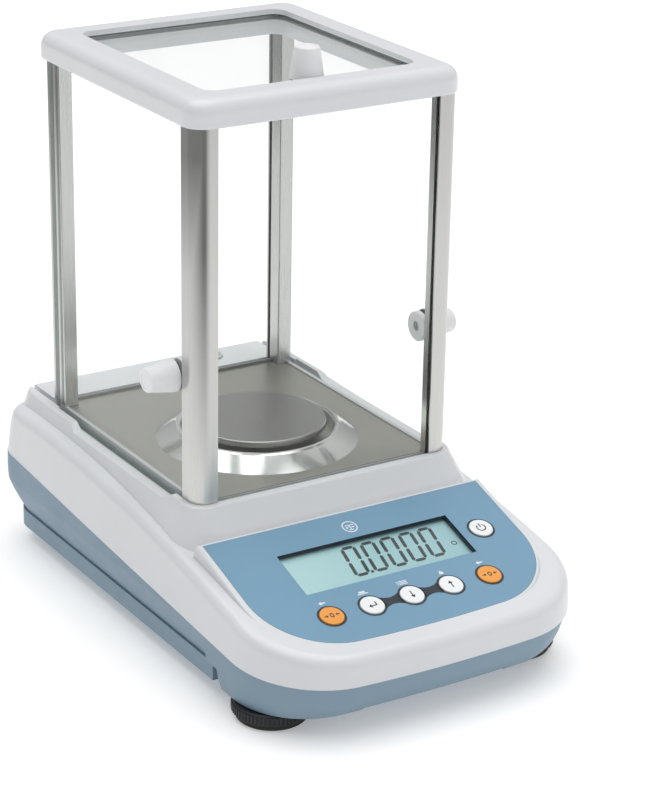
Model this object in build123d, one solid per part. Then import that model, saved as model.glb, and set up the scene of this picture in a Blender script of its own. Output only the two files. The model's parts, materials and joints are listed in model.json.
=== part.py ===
from build123d import *
import os
from math import cos, radians, sin, tan

# Analytical balance: a weighing base, a glass draft shield on four posts and a weigh cell inside.
# Millimetres. X runs left to right, Y from front to back, Z up from the surface it stands on.
# The origin is below the middle of the base.

# Base
HALF_W = 103.5
FRONT_Y = -170.5
REAR_Y = 171.5
SEAM_Z = 44.6
SEAM_SLOPE = 0.07
BASE_BOTTOM_Z = 10.0
LEDGE_Z = 20.5
WALL = 2.6
CREST_REAR_Z = 82.5
CREST_MID_Z = 77.5
CREST_FRONT_Z = 45.5
SHOULDER_R = 7.5

# Pedestal under the weighing chamber
RIM_Z = 91.5
PEDESTAL_FOOT_Z = 60.0
PEDESTAL_SPREAD_X = 14.4
PEDESTAL_SPREAD_Y = 22.5
PEDESTAL_HALF_W = 86.5
PEDESTAL_FRONT_Y = -46.5
PEDESTAL_REAR_Y = 168.0
PEDESTAL_FLOOR_Z = 83.4
PLATE_Z = 89.0
PLATE_T = 1.2

# Sloping display deck
DECK_TOP_Y = -61.9
DECK_TOP_Z = 77.4
DECK_TILT = 17.0
DECK_HALF_W = 89.3
DECK_LENGTH = 96.0
OVERLAY_T = 0.8

# Posts and glass
POST_OUT_X = 83.0
POST_IN_X = 69.3
POST_FRONT_Y = -43.0
REAR_POST_Y = 125.2
REAR_POST_END_Y = 139.7
REAR_POST_OUT_X = 78.2
POST_BOTTOM_Z = 80.0
POST_TOP_Z = 309.5
GLASS_T = 2.6
FRONT_GLASS_Y = -40.6
REAR_GLASS_Y = 136.3
DOOR_X = 80.1
TOP_GLASS_Z = 312.4
SLOT_GAP = 0.35

# Top frame
FRAME_TOP_Z = 317.0
FRAME_BOTTOM_Z = 302.0
FRAME_HALF_W = 85.3
FRAME_FRONT_Y = -45.1
FRAME_REAR_Y = 142.0
FRAME_BAR = 19.2

# Door knobs
KNOB_BASE_R = 9.3
KNOB_TIP_R = 6.7
KNOB_L = 17.4
KNOB_WASHER_T = 0.8
KNOB_DISC_T = 3.0
KNOB_Y = -16.5
KNOB_Z = 159.5

# Weighing parts
PAN_Y = 32.5
PAN_R = 40.0
PAN_TOP_Z = 102.0
RING_BASE_R = 59.2
RING_TOP_Z = 98.4
PLATE_HOLE_R = 14.0

# Feet
FRONT_FOOT_X = 79.5
FRONT_FOOT_Y = -119.0
FOOT_R = 22.0
REAR_FOOT_X = 70.0
REAR_FOOT_Y = 118.0
REAR_FOOT_R = 12.0

# Openings on the deck, from its middle line and from its top edge down the slope
WINDOW_HALF_W = 55.5
WINDOW_TOP_S = 20.3
WINDOW_BOTTOM_S = 54.3
ROW_S = 73.0
ROW_PITCH = 25.4
BUTTON_R = 6.8
POWER_X = 68.5
POWER_S = 37.5
BUTTONS = {
    "zero_left_button": (-2 * ROW_PITCH, ROW_S),
    "enter_button": (-ROW_PITCH, ROW_S),
    "down_button": (0.0, ROW_S),
    "up_button": (ROW_PITCH, ROW_S),
    "zero_right_button": (2 * ROW_PITCH, ROW_S),
    "power_button": (POWER_X, POWER_S),
}

# Lower housing
PLINTH_X = 97.5
PLINTH_FRONT_Y = -87.0
PLINTH_REAR_Y = 161.5
SCREW_X = 82.0
SCREW_FRONT_Y = -70.0
SCREW_REAR_Y = 92.0
SCREW_TOP_Z = 44.0
SOCKET_Z = 38.0
POWER_SOCKET_X = -58.0
DATA_SOCKET_X = 20.0
HOOK_PORT_R = 6.0

# Doors at rest
DOOR_FRONT_Y = -34.1
DOOR_REAR_Y = 130.2
DOOR_BOTTOM_Z = 86.9
DOOR_TOP_Z = 306.4
PANE_TOP_Z = 305.4
TOP_GLASS_FRONT_Y = -29.2
TOP_GLASS_REAR_Y = 130.0

# Weigh cell, level and feet
MAGNET_Y = 134.0
PIVOT_Y = 58.0
LEVEL_X = 38.0
LEVEL_Y = 156.0
FOOT_RIBS = 60


# ---------------------------------------------------------------- helpers

def box(x0, x1, y0, y1, z0, z1):
    """A box between two corners."""
    return Pos((x0 + x1) / 2, (y0 + y1) / 2, (z0 + z1) / 2) * Box(x1 - x0, y1 - y0, z1 - z0)


def rod(x, y, z0, z1, radius):
    """An upright cylinder from z0 to z1."""
    return Pos(x, y, (z0 + z1) / 2) * Cylinder(radius, z1 - z0)


def both_sides(shape):
    """The shape and its mirror image across the middle plane."""
    return shape + mirror(shape, about=Plane.YZ)


def plan(half_w, front_y, rear_y, front_r, rear_r, bow=0.0):
    """Plan outline with round corners and a bowed front edge, as a face at height 0."""
    front = ThreePointArc((-half_w, front_y + bow), (0, front_y), (half_w, front_y + bow))
    rest = Polyline((half_w, front_y + bow), (half_w, rear_y), (-half_w, rear_y), (-half_w, front_y + bow))
    face = make_face(front + rest)
    corners = face.vertices().group_by(Axis.Y)
    face = fillet(corners[-1], rear_r)
    return fillet(face.vertices().group_by(Axis.Y)[0], front_r)


def side_prism(outline):
    """A closed outline of (y, z) points, drawn across the whole width."""
    face = Plane.YZ * make_face(Polyline(*outline, close=True))
    return extrude(face, amount=130, both=True)


def deck_place(x, s, lift=0.0):
    """Location on the sloping deck: x across, s down the slope, lift above it."""
    tilt = radians(DECK_TILT)
    y = DECK_TOP_Y - s * cos(tilt) - lift * sin(tilt)
    z = DECK_TOP_Z - s * sin(tilt) + lift * cos(tilt)
    return Location((x, y, z), (DECK_TILT, 0, 0))


def seam_z(y):
    """Height of the seam between the two housings."""
    return SEAM_Z + SEAM_SLOPE * y


# ---------------------------------------------------------------- housings

def crest_prism(drop=0.0):
    """Everything under the curved top line of the main body."""
    low = -20.0
    top = ThreePointArc(
        (-180, CREST_FRONT_Z - drop), (2.5, CREST_MID_Z - drop), (185, CREST_REAR_Z - drop)
    )
    rest = Polyline((185, CREST_REAR_Z - drop), (185, low), (-180, low), (-180, CREST_FRONT_Z - drop))
    return extrude(Plane.YZ * make_face(top + rest), amount=130, both=True)


def body_loft(inset=0.0):
    """Main body walls: widest at the seam, leaning in towards the top."""
    sections = [
        Pos(0, 0, 24) * plan(HALF_W - inset, FRONT_Y + inset, REAR_Y - inset, 52 - inset, 20 - inset, 7),
        Pos(0, 0, 52) * plan(HALF_W - 0.6 - inset, FRONT_Y + 0.8 + inset, REAR_Y - 0.4 - inset,
                             51 - inset, 20 - inset, 7),
        Pos(0, 0, 90) * plan(HALF_W - 6.2 - inset, FRONT_Y + 13 + inset, REAR_Y - 3.6 - inset,
                             48 - inset, 18 - inset, 7),
    ]
    return loft(sections)


def pedestal_loft(inset=0.0, drop=0.0):
    """Raised platform that carries the posts and the chamber floor."""
    low = Pos(0, 0, PEDESTAL_FOOT_Z) * plan(
        PEDESTAL_HALF_W + PEDESTAL_SPREAD_X - inset, PEDESTAL_FRONT_Y - PEDESTAL_SPREAD_Y + inset,
        PEDESTAL_REAR_Y + 1.8 - inset, 29 - inset, 18 - inset, 0.6)
    high = Pos(0, 0, RIM_Z - drop) * plan(
        PEDESTAL_HALF_W - inset, PEDESTAL_FRONT_Y + inset,
        PEDESTAL_REAR_Y - 0.6 - inset, 13 - inset, 12 - inset, 0.4)
    return loft([low, high])


def deck_outline(margin):
    """Outline of the overlay on the deck plane, from its top edge to its round lower corners."""
    half = DECK_HALF_W + margin
    bottom = -DECK_LENGTH - margin
    arc = ThreePointArc((-half, bottom + 5), (0, bottom), (half, bottom + 5))
    rest = Polyline((half, bottom + 5), (half, margin * 0.6), (-half, margin * 0.6), (-half, bottom + 5))
    face = make_face(arc + rest)
    return fillet(face.vertices().group_by(Axis.Y)[0], 46)


def deck_block(margin=3.4):
    """Wedge under the overlay, standing proud of the main body at its top end."""
    block = extrude(deck_place(0, 0) * deck_outline(margin), amount=-34)
    top = block.faces().sort_by(Axis.Z)[-1]
    return fillet(top.edges(), 1.6)


def deck_recess():
    """Seat for the overlay, with a lip that leans away from it where the body stands higher."""
    seat = extrude(deck_place(0, 0, -OVERLAY_T) * deck_outline(0.15), amount=OVERLAY_T + 1)
    lip = extrude(deck_place(0, 0) * deck_outline(1.0), amount=9, taper=-38)
    return seat + lip


def under_deck(depth):
    """Everything that lies deeper than the given depth below the deck plane, or behind the deck."""
    slope = tan(radians(DECK_TILT))
    drop = depth / cos(radians(DECK_TILT))
    front_z = DECK_TOP_Z - drop - slope * (185 + DECK_TOP_Y)
    return side_prism([(-185, front_z), (DECK_TOP_Y, DECK_TOP_Z - drop), (DECK_TOP_Y, 130), (200, 130),
                       (200, -50), (-185, -50)])


def scoop():
    """The cut that lowers the rim beside one door, with a ramp at each end."""
    floor_z = RIM_Z - 4.2
    outline = [(-13, floor_z), (94, floor_z), (102, RIM_Z + 1), (102, RIM_Z + 6), (-23, RIM_Z + 6),
               (-23, RIM_Z + 1)]
    face = Plane.YZ * make_face(Polyline(*outline, close=True))
    cut = Pos(POST_OUT_X - 0.6, 0, 0) * extrude(face, amount=30)
    return both_sides(cut)


def post_sections(gap=0.0):
    """Plan sections of the right-hand posts, front and rear, grown by a gap all round."""
    front = make_face(Polyline(
        (POST_IN_X - gap, POST_FRONT_Y - gap), (POST_OUT_X + gap, POST_FRONT_Y - gap),
        (POST_OUT_X + gap, -27.5 + gap), (POST_OUT_X - 1.4 - gap, -27.5 + gap),
        (POST_OUT_X - 1.4 - gap, -34.5 + gap), (POST_IN_X - gap, -34.5 + gap), close=True))
    outer = front.vertices().sort_by(lambda v: v.X - v.Y)[-1]
    front = fillet(outer, 9.0 + gap)
    rear = make_face(Polyline(
        (POST_IN_X - gap, REAR_POST_Y - gap), (REAR_POST_OUT_X + gap, REAR_POST_Y - gap),
        (REAR_POST_OUT_X + gap, REAR_POST_END_Y + gap), (POST_IN_X - gap, REAR_POST_END_Y + gap), close=True))
    rear = fillet(rear.vertices(), 0.8 + gap)
    return front, rear


def post_sockets():
    """Holes in the pedestal for the four post ends."""
    front, rear = post_sections(0.12)
    sockets = extrude(Pos(0, 0, POST_BOTTOM_Z) * (front + rear), amount=30)
    return both_sides(sockets)


def door_channels(z0, z1, rear_y=190.0):
    """Grooves that the two side doors run in, open at the back."""
    half = GLASS_T / 2 + SLOT_GAP
    return both_sides(box(DOOR_X - half, DOOR_X + half, -34.4, rear_y, z0, z1))


def upper_housing():
    """White cover with the pedestal, the display deck and the rim scoops."""
    body = body_loft() & crest_prism()
    body = fillet(body.faces().sort_by(Axis.Z)[-1].edges(), SHOULDER_R)
    pedestal = pedestal_loft()
    pedestal = fillet(pedestal.faces().sort_by(Axis.Z)[-1].edges(), 2.0)
    shell = body + deck_block() + pedestal
    shell -= side_prism([(-200, seam_z(-200)), (200, seam_z(200)), (200, -40), (-200, -40)])
    cavity = body_loft(WALL) & crest_prism(WALL) & under_deck(OVERLAY_T + WALL)
    shell -= cavity
    shell -= pedestal_loft(WALL, RIM_Z - PEDESTAL_FLOOR_Z)
    shell -= deck_cavity()
    shell -= deck_recess()
    shell -= chamber_recess()
    shell -= scoop()
    shell -= deck_openings()
    shell += post_bosses()
    return shell - post_sockets()


def deck_cavity():
    """Room under the deck for the display board."""
    face = deck_place(0, 0, -OVERLAY_T - WALL) * deck_outline(0.6)
    return extrude(face, amount=-30) & box(-HALF_W, HALF_W, -150, -58, 20, 100)


def chamber_recess():
    """Seat for the metal floor, slots for the fixed glass and grooves for the doors."""
    cut = box(-76.0, 76.0, -38.9, 134.6, PLATE_Z, RIM_Z + 2)
    half = GLASS_T / 2 + 0.1
    for y in (FRONT_GLASS_Y, REAR_GLASS_Y):
        cut += box(-73.2, 73.2, y - half, y + half, PLATE_Z - 3.1, RIM_Z + 2)
    cut += both_sides(box(76.0, 83.0, -34.4, 124.9, 86.0, RIM_Z + 2))
    cut += door_channels(86.3, RIM_Z + 2)
    cut += rod(0, PAN_Y, 80, RIM_Z + 2, 30)
    cut += rod(LEVEL_X, LEVEL_Y, 88.2, RIM_Z + 2, 8.1)
    return cut


def deck_openings():
    """Window and button holes through the deck."""
    width = 2 * WINDOW_HALF_W
    height = WINDOW_BOTTOM_S - WINDOW_TOP_S
    middle = deck_place(0, (WINDOW_TOP_S + WINDOW_BOTTOM_S) / 2)
    cut = middle * Box(width, height, 16)
    for x, s in BUTTONS.values():
        cut += deck_place(x, s) * Cylinder(BUTTON_R + 0.6, 16)
    return cut


def post_bosses():
    """Blocks under the pedestal that close the post sockets."""
    front = box(67, 84.6, -44.6, -25.5, 76, PEDESTAL_FLOOR_Z + 0.5)
    rear = box(67, 80.4, 123, 142, 76, PEDESTAL_FLOOR_Z + 0.5)
    bosses = both_sides(front + rear)
    return bosses - both_sides(rod(76, -38.6, 70, 90, 2.2) + rod(73.8, 131, 70, 90, 2.2))


def lower_loft(inset=0.0):
    """Convex lower walls, drawn in towards the surface below."""
    sections = [
        Pos(0, 0, 58) * plan(103.0 - inset, -170.4 + inset, 170.4 - inset, 52 - inset, 20 - inset, 7),
        Pos(0, 0, 36) * plan(102.8 - inset, -170.4 + inset, 170.0 - inset, 52 - inset, 20 - inset, 7),
        Pos(0, 0, 22) * plan(101.3 - inset, -166.2 + inset, 167.5 - inset, 50 - inset, 20 - inset, 6),
        Pos(0, 0, BASE_BOTTOM_Z) * plan(98.4 - inset, -156.0 + inset, 163.0 - inset, 43 - inset, 19 - inset, 5),
    ]
    return loft(sections)


def waist(inset=0.0):
    """Lower walls behind the front pods: they curve in to a ledge, with an upright plinth below it."""
    levels = ((46, HALF_W + 0.6, REAR_Y + 0.8), (34, 101.6, 168.2), (26, 98.6, 163.6), (LEDGE_Z, 96.1, 160.1))
    walls = loft([Pos(0, 0, z) * plan(half_w - inset, -200, rear_y - inset, 5, 20 - inset, 1)
                  for z, half_w, rear_y in levels])
    foot = plan(PLINTH_X - inset, -200, PLINTH_REAR_Y - inset, 5, 19 - inset, 1)
    return walls + extrude(foot, amount=LEDGE_Z)


def foot_bosses():
    """Columns that take the threaded inserts of the front feet and the screws of the rear feet."""
    front = rod(FRONT_FOOT_X, FRONT_FOOT_Y, BASE_BOTTOM_Z + 0.4, 34, 7.0)
    rear = rod(REAR_FOOT_X, REAR_FOOT_Y, BASE_BOTTOM_Z + 0.4, 26, 5.0)
    return both_sides(front + rear)


def lower_housing():
    """Blue-grey tray with foot pods in front, a plinth behind them and the socket openings at the back."""
    tray = lower_loft()
    tray -= side_prism([(-200, seam_z(-200)), (200, seam_z(200)), (200, 90), (-200, 90)])
    tray -= box(-120, 120, PLINTH_FRONT_Y, 200, 0, 46) - waist()
    notch = box(PLINTH_X - 7, 120, PLINTH_FRONT_Y - 11, PLINTH_FRONT_Y, 0, LEDGE_Z + 2.5)
    notch = fillet(notch.edges().filter_by(Axis.Z), 2.5)
    tray -= both_sides(notch)
    tray -= box(-46, 46, -200, -100, 0, BASE_BOTTOM_Z + 2.5)
    tray -= box(-60, 60, 148, 200, 0, BASE_BOTTOM_Z + 4)
    cavity = lower_loft(WALL) & box(-120, 120, -200, 200, BASE_BOTTOM_Z + 5, 80)
    cavity -= box(-120, 120, PLINTH_FRONT_Y - WALL, 200, 0, 46) - waist(WALL)
    cavity -= both_sides(box(PLINTH_X - 10, 120, PLINTH_FRONT_Y - 14, PLINTH_FRONT_Y + 1, 0, LEDGE_Z + 5.5))
    tray = tray - cavity + foot_bosses() + screw_bosses()
    tray -= both_sides(rod(FRONT_FOOT_X, FRONT_FOOT_Y, 0, 40, 5.0) + rod(REAR_FOOT_X, REAR_FOOT_Y, 0, 40, 1.6))
    tray -= screw_holes()
    tray -= rear_openings()
    return tray - rod(0, PAN_Y, 0, 40, HOOK_PORT_R)


def screw_bosses():
    """Columns in the lower housing for the screws that hold the two housings together."""
    return both_sides(rod(SCREW_X, SCREW_REAR_Y, 12, SCREW_TOP_Z, 5) + rod(SCREW_X, SCREW_FRONT_Y, 12, 34, 5))


def screw_holes():
    """Countersunk holes for the case screws."""
    hole = rod(SCREW_X, SCREW_REAR_Y, 0, 70, 1.8) + rod(SCREW_X, SCREW_REAR_Y, 0, 15, 3.6)
    hole += rod(SCREW_X, SCREW_FRONT_Y, 0, 70, 1.8) + rod(SCREW_X, SCREW_FRONT_Y, 0, 15, 3.6)
    return both_sides(hole)


def case_screws():
    """Pan-head screws up through the tray, and long screws up into the post cores."""
    screw = rod(0, 0, 0, 2.2, 3.2) + rod(0, 0, 2, 20, 1.5) - rod(0, 0, -1, 1.2, 1.3)
    rear = Pos(SCREW_X, SCREW_REAR_Y, 12.6) * screw
    front = Pos(SCREW_X, SCREW_FRONT_Y, 12.6) * screw
    post_screw = rod(0, 0, 73.6, 75.9, 3.2) + rod(0, 0, 75.5, 92, 1.5)
    posts = Pos(76, -38.6, 0) * post_screw + Pos(73.8, 131, 0) * post_screw
    return both_sides(rear + front + posts)


def rear_openings():
    """Cut-outs in the back wall for the power inlet and the data socket."""
    power = Pos(POWER_SOCKET_X, 168, SOCKET_Z) * Rot(90, 0, 0) * Cylinder(5.2, 24)
    data = box(DATA_SOCKET_X - 15.6, DATA_SOCKET_X + 15.6, 150, 190, SOCKET_Z - 6, SOCKET_Z + 6)
    return power + data


# ---------------------------------------------------------------- draft shield

def top_frame():
    """Moulded ring that ties the posts together and guides the three doors."""
    outer = plan(FRAME_HALF_W, FRAME_FRONT_Y, FRAME_REAR_Y, 13, 13, 0.6)
    ring = extrude(Pos(0, 0, FRAME_BOTTOM_Z) * outer, amount=FRAME_TOP_Z - FRAME_BOTTOM_Z)
    ring = fillet(ring.faces().sort_by(Axis.Z)[-1].edges(), 8.0)
    ring = fillet(ring.faces().sort_by(Axis.Z)[0].edges(), 1.4)
    inner_x = FRAME_HALF_W - FRAME_BAR
    front_y = FRAME_FRONT_Y + FRAME_BAR
    rear_y = FRAME_REAR_Y - FRAME_BAR
    window = plan(inner_x, front_y, rear_y, 8, 8, 0.2)
    ring -= extrude(Pos(0, 0, FRAME_BOTTOM_Z - 1) * window, amount=20)
    slot = GLASS_T / 2 + SLOT_GAP
    ring -= box(-69.6, 69.6, TOP_GLASS_FRONT_Y - 0.4, 160, TOP_GLASS_Z - slot, TOP_GLASS_Z + slot)
    ring -= door_channels(FRAME_BOTTOM_Z - 1, DOOR_TOP_Z + 0.5)
    pane = GLASS_T / 2 + 0.1
    for y in (FRONT_GLASS_Y, REAR_GLASS_Y):
        ring -= box(-73.2, 73.2, y - pane, y + pane, FRAME_BOTTOM_Z - 1, PANE_TOP_Z + 0.2)
    front, rear = post_sections(0.12)
    ring -= both_sides(extrude(Pos(0, 0, FRAME_BOTTOM_Z - 1) * (front + rear), amount=POST_TOP_Z - FRAME_BOTTOM_Z + 1.1))
    return ring


def posts():
    """Extruded posts with grooves for the fixed glass and a core for the screw."""
    front, rear = post_sections()
    height = POST_TOP_Z - POST_BOTTOM_Z
    pane = GLASS_T / 2 + 0.1
    made = {}
    for place, face, y, core in (
        ("front", front, FRONT_GLASS_Y, (76, -38.6)), ("rear", rear, REAR_GLASS_Y, (73.8, 131)),
    ):
        post = extrude(Pos(0, 0, POST_BOTTOM_Z) * face, amount=height)
        post -= box(60, 73.2, y - pane, y + pane, 70, 320)
        post -= rod(*core, 70, 100, 1.6)
        made[f"{place}_right_post"] = post
        made[f"{place}_left_post"] = mirror(post, about=Plane.YZ)
    return made


def fixed_pane(y):
    """Glass between two posts."""
    half = GLASS_T / 2
    return box(-73.0, 73.0, y - half, y + half, PLATE_Z - 3.0, PANE_TOP_Z)


def side_door_glass(side):
    """Sliding side pane, drilled for its knob."""
    x = side * DOOR_X
    half = GLASS_T / 2
    pane = box(x - half, x + half, DOOR_FRONT_Y, DOOR_REAR_Y, DOOR_BOTTOM_Z, DOOR_TOP_Z)
    return pane - Pos(x, KNOB_Y, KNOB_Z) * Rot(0, 90, 0) * Cylinder(2.2, 10)


def top_door_glass():
    """Sliding top pane, drilled for its knob."""
    half = GLASS_T / 2
    pane = box(-69.0, 69.0, TOP_GLASS_FRONT_Y, TOP_GLASS_REAR_Y, TOP_GLASS_Z - half, TOP_GLASS_Z + half)
    return pane - rod(0, KNOB_Y, 300, 330, 2.2)


def knob_parts():
    """Knob, washer, backing disc and screw, on a pane whose outer face is at height 0."""
    base = KNOB_WASHER_T
    tip = base + KNOB_L
    outline = make_face(Polyline(
        (0, base + 9), (1.5, base + 9), (1.5, base), (KNOB_BASE_R, base), (KNOB_BASE_R, base + 1.5),
        (KNOB_TIP_R, tip), (KNOB_TIP_R - 1.6, tip), (KNOB_TIP_R - 2.2, tip - 0.5), (0, tip - 0.5), close=True))
    knob = revolve(Plane.XZ * outline, axis=Axis.Z)
    rim = knob.edges().filter_by(GeomType.CIRCLE).filter_by(lambda e: abs(e.radius - KNOB_TIP_R) < 0.01)
    knob = fillet(rim, 1.1)
    washer = rod(0, 0, 0, base, KNOB_BASE_R - 0.5) - rod(0, 0, -1, 2, 1.7)
    under = -GLASS_T
    disc = rod(0, 0, under - KNOB_DISC_T, under, 8.75) - rod(0, 0, -20, 2, 1.7)
    disc = chamfer(disc.edges().filter_by(GeomType.CIRCLE).sort_by(Axis.Z)[0], 0.5)
    disc -= rod(0, 0, under - KNOB_DISC_T - 1, under - 1.4, 2.9)
    screw = rod(0, 0, under - 2.5, under - 1.4, 2.6) + rod(0, 0, under - 1.5, base + 8, 1.5)
    screw -= Pos(0, 0, under - 2.5) * Box(3.4, 0.7, 1.2)
    return {"knob": knob, "knob_washer": washer, "knob_disc": disc, "knob_screw": screw}


def door_knobs():
    """The knob set of each door, placed on its pane."""
    face = DOOR_X + GLASS_T / 2
    places = {
        "left": Location((-face, KNOB_Y, KNOB_Z), (0, -90, 0)),
        "right": Location((face, KNOB_Y, KNOB_Z), (0, 90, 0)),
        "top": Location((0, KNOB_Y, TOP_GLASS_Z + GLASS_T / 2), (0, 0, 0)),
    }
    return {f"{door}_{name}": place * part for door, place in places.items()
            for name, part in knob_parts().items()}


def door_rails():
    """Lower guides of the side doors: each has a low outer wall and a taller inner wall."""
    rail = box(76.1, 82.9, -34.2, 124.7, 86.1, RIM_Z - 0.6)
    half = GLASS_T / 2 + SLOT_GAP
    rail -= box(DOOR_X - half, DOOR_X + half, -40, 130, 86.6, 100)
    rail -= box(DOOR_X, 90, -40, 130, RIM_Z - 4.3, 100)
    front, rear = post_sections(0.15)
    return both_sides(rail - extrude(Pos(0, 0, 80) * (front + rear), amount=20))


def glass_seals():
    """Soft strips that bed the two fixed panes along the chamber floor."""
    strips = box(-69.0, 69.0, -38.9, -38.0, PLATE_Z + PLATE_T + 0.05, 91.6)
    return strips + box(-69.0, 69.0, 133.4, 134.6, PLATE_Z + PLATE_T + 0.05, 91.6)


# ---------------------------------------------------------------- weighing parts

def chamber_floor():
    """Stainless plate with notches round the posts and a hole for the carrier."""
    plate = box(-75.8, 75.8, -38.7, 134.4, PLATE_Z, PLATE_Z + PLATE_T)
    front, rear = post_sections(0.4)
    plate -= both_sides(extrude(Pos(0, 0, 80) * (front + rear), amount=20))
    return plate - rod(0, PAN_Y, 80, 100, PLATE_HOLE_R)


def turned(outline, y=PAN_Y):
    """A body of revolution about the upright axis through the pan, from (radius, z) points."""
    return Pos(0, y, 0) * revolve(Plane.XZ * make_face(Polyline(*outline, close=True)), axis=Axis.Z)


def wind_ring():
    """Polished draught ring: a thin cone round the pan with a rolled top."""
    low = PLATE_Z + PLATE_T + 0.02
    top = RING_TOP_Z
    outline = [(RING_BASE_R, low), (48.6, top - 1.0), (47.6, top - 0.2), (46.3, top), (45.0, top - 0.4),
               (44.4, top - 1.2), (43.4, low), (44.3, low), (45.3, top - 1.6), (46.4, top - 0.9),
               (47.8, top - 1.5), (57.9, low)]
    return turned(outline)


def weighing_pan():
    """Round pan with a turned-down rim and a socket hub underneath."""
    top = PAN_TOP_Z
    outline = [(0, top), (PAN_R - 1.2, top), (PAN_R - 0.35, top - 0.35), (PAN_R, top - 1.2),
               (PAN_R, top - 3.4), (PAN_R - 0.8, top - 3.4), (PAN_R - 0.8, top - 1.6),
               (PAN_R - 1.5, top - 1.0), (9, top - 1.0), (9, 97.0), (6.1, 97.0), (5.1, 100.0), (0, 100.0)]
    return turned(outline)


def pan_carrier():
    """Cone and stem that hold the pan on the load receiver."""
    outline = [(0, 99.98), (4.7, 99.98), (5.7, 96.6), (8.2, 96.6), (8.2, 95.2), (3.0, 93.0), (3.0, 66.0),
               (0, 66.0)]
    return turned(outline)


def load_receiver():
    """Block that the carrier screws into, at the front of the weigh cell."""
    block = box(-15, 15, PAN_Y - 9, PAN_Y + 9, 36, 66)
    block = fillet(block.edges().filter_by(Axis.Z), 2)
    return block - box(-6, 6, PAN_Y + 2, PAN_Y + 12, 46, 54)


def cell_frame():
    """Rigid body of the weigh cell with a bridge for the guides and a flexure post for the beam."""
    frame = box(-26, 26, 46, 156, 20, 33)
    walls = box(20.5, 26, 50, 152, 32, 66)
    frame += both_sides(walls)
    frame += box(-26, 26, 100, 112, 56, 66)
    frame -= box(-12, 12, 60, 92, 10, 40)
    frame += box(-4.5, 4.5, PIVOT_Y - 1.5, PIVOT_Y + 1.5, 32, 46.7)
    return frame - both_sides(rod(23, 60, 10, 70, 1.7) + rod(23, 144, 10, 70, 1.7))


def guide(z):
    """Parallel guide: a thin triangular plate with a necked flexure at each end."""
    plate = make_face(Polyline((-14, 27), (14, 27), (17, 112), (-17, 112), close=True))
    plate -= make_face(Polyline((-6, 44), (6, 44), (10, 92), (-10, 92), close=True))
    arm = extrude(Pos(0, 0, z) * plate, amount=1.6)
    arm -= box(-30, 30, 38, 40, z + 1.0, z + 3)
    arm -= box(-30, 30, 97, 99, z + 1.0, z + 3)
    return arm - rod(0, PAN_Y, z - 5, z + 5, 4.0)


def cell_lever():
    """Balance beam from the receiver to the coil, with its coil holder."""
    beam = box(-4.5, 4.5, PAN_Y + 2.6, MAGNET_Y - 12.2, 47, 53)
    holder = rod(0, MAGNET_Y, 49.5, 53, 12.4) - rod(0, MAGNET_Y, 40, 60, 3.0)
    return beam + box(-4.5, 4.5, MAGNET_Y - 14, MAGNET_Y - 6, 49.5, 53) + holder


def coil():
    """Copper winding under the coil holder, in the gap of the magnet."""
    return rod(0, MAGNET_Y, 40, 49.4, 11.2) - rod(0, MAGNET_Y, 30, 60, 9.2)


def magnet_pot():
    """Iron cup with its magnet core."""
    cup = rod(0, MAGNET_Y, 33.1, 45.8, 18.0) - rod(0, MAGNET_Y, 36.5, 60, 12.6)
    return cup + rod(0, MAGNET_Y, 36, 45.8, 7.8)


def position_sensor():
    """Small light-barrier board behind the beam."""
    board = box(-16, 16, 155.0, 156.6, 36, 58)
    return board + box(-5, 5, 152.4, 155.1, 54.5, 58) + box(-5, 5, 152.4, 155.1, 42, 46)


def chassis_plate():
    """Aluminium plate under the weigh cell, standing on four pads."""
    plate = box(-62, 62, 12, 152, 17, 19.9)
    pads = both_sides(rod(54, 20, 15.1, 17.1, 7) + rod(54, 144, 15.1, 17.1, 7))
    return plate + pads - rod(0, PAN_Y, 10, 30, HOOK_PORT_R + 2)


# ---------------------------------------------------------------- electronics

def main_board():
    """Controller board with its larger components."""
    board = box(-62, 62, -132, -12, 20, 21.6)
    for x, y, w, d, h in ((-30, -90, 14, 14, 1.6), (10, -90, 22, 22, 2.0), (-36, -40, 10, 18, 2.4)):
        board += box(x - w / 2, x + w / 2, y - d / 2, y + d / 2, 21.5, 21.6 + h)
    for index in range(4):
        board += rod(34, -40 - 13 * index, 21.5, 31.0, 4.0)
    standoffs = both_sides(rod(56, -126, 15, 20.1, 3) + rod(56, -18, 15, 20.1, 3))
    return board + standoffs


def display_board():
    """Board under the deck with the key switches and the display connector."""
    middle_s = 46.0
    board = deck_place(0, middle_s, -11.4) * Box(164, 84, 1.6)
    for x, s in BUTTONS.values():
        board += deck_place(x, s, -9.2) * Box(6, 6, 3.0)
        board += deck_place(x, s, -7.6) * Cylinder(1.7, 0.9)
    return board


def lcd_module():
    """Liquid crystal cell in its holder."""
    s = (WINDOW_TOP_S + WINDOW_BOTTOM_S) / 2
    return deck_place(0, s, -7.0) * Box(119, 42, 7.0)


def lcd_window():
    """Clear pane over the display."""
    s = (WINDOW_TOP_S + WINDOW_BOTTOM_S) / 2
    height = WINDOW_BOTTOM_S - WINDOW_TOP_S
    return deck_place(0, s, -2.9) * Box(2 * WINDOW_HALF_W - 0.3, height - 0.3, 1.0)


def keypad_overlay():
    """Printed front foil with the window and the key openings."""
    foil = extrude(deck_place(0, 0, -OVERLAY_T) * deck_outline(0), amount=OVERLAY_T)
    s = (WINDOW_TOP_S + WINDOW_BOTTOM_S) / 2
    foil -= deck_place(0, s) * Box(2 * WINDOW_HALF_W - 1, WINDOW_BOTTOM_S - WINDOW_TOP_S - 1, 6)
    for x, s in BUTTONS.values():
        foil -= deck_place(x, s) * Cylinder(BUTTON_R + 0.35, 6)
    return foil


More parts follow.
